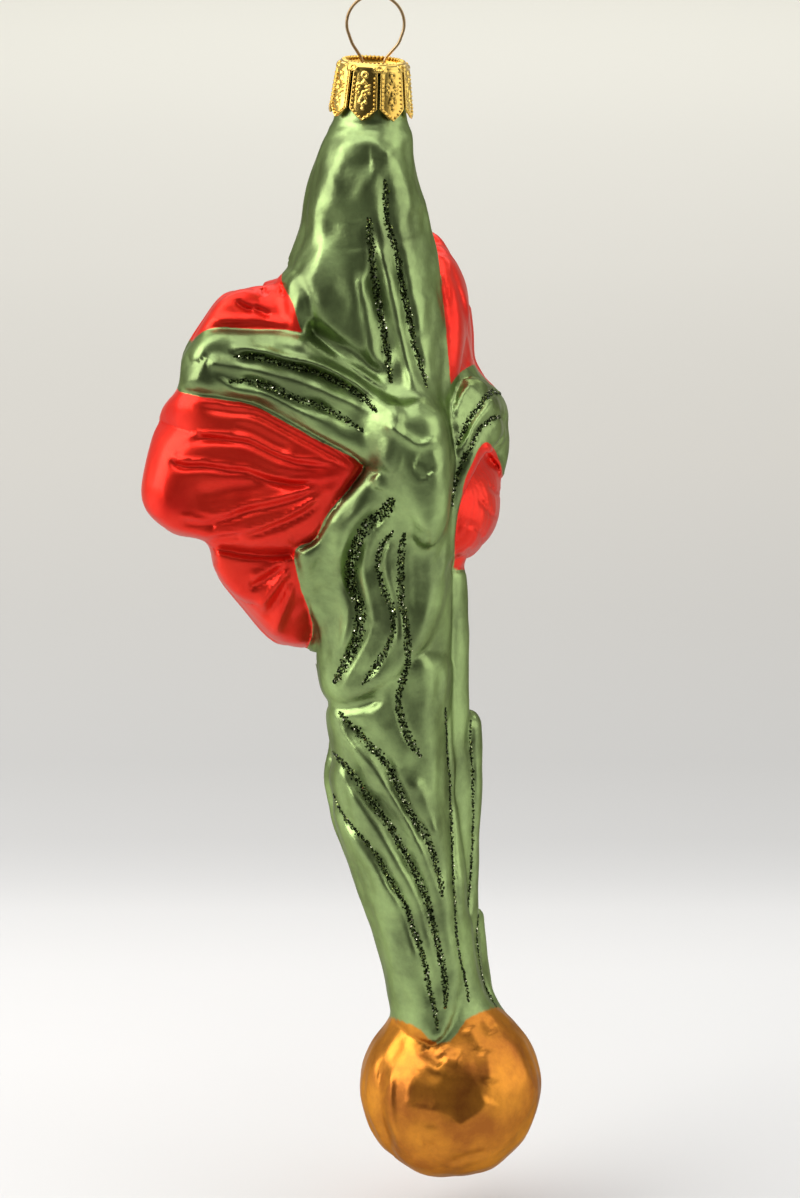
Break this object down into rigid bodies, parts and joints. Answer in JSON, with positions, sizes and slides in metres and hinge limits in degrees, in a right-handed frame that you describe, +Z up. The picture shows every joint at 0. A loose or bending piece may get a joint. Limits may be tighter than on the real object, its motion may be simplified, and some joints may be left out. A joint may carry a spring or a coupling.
{
  "type": "glass amaryllis tree ornament",
  "caption": "Mould-blown glass hanging ornament shaped as an amaryllis flower with its leaves, stem and bulb, with a crown cap and a sprung wire ring.",
  "frame": {"origin": "where a hook bears on the wire ring: the inside of the top of the ring", "axes": "+Z up along the hanging ornament; -Y the side with the flower's back, its sepals and the leaf fan; +Y the side with the open face of the flower"},
  "size_m": [0.0587, 0.0497, 0.1792],
  "materials": {
    "lacquered_glass": "silvered glass under satin green, glossy red and amber lacquer",
    "gilt_cap": "bright gilt stamping",
    "gilt_wire": "thin bronze-coloured spring wire"
  },
  "bodies": {
    "root": {"glass_body": "lacquered_glass", "crown_cap": "gilt_cap", "wire_hanger": "gilt_wire"}
  },
  "joints": []
}
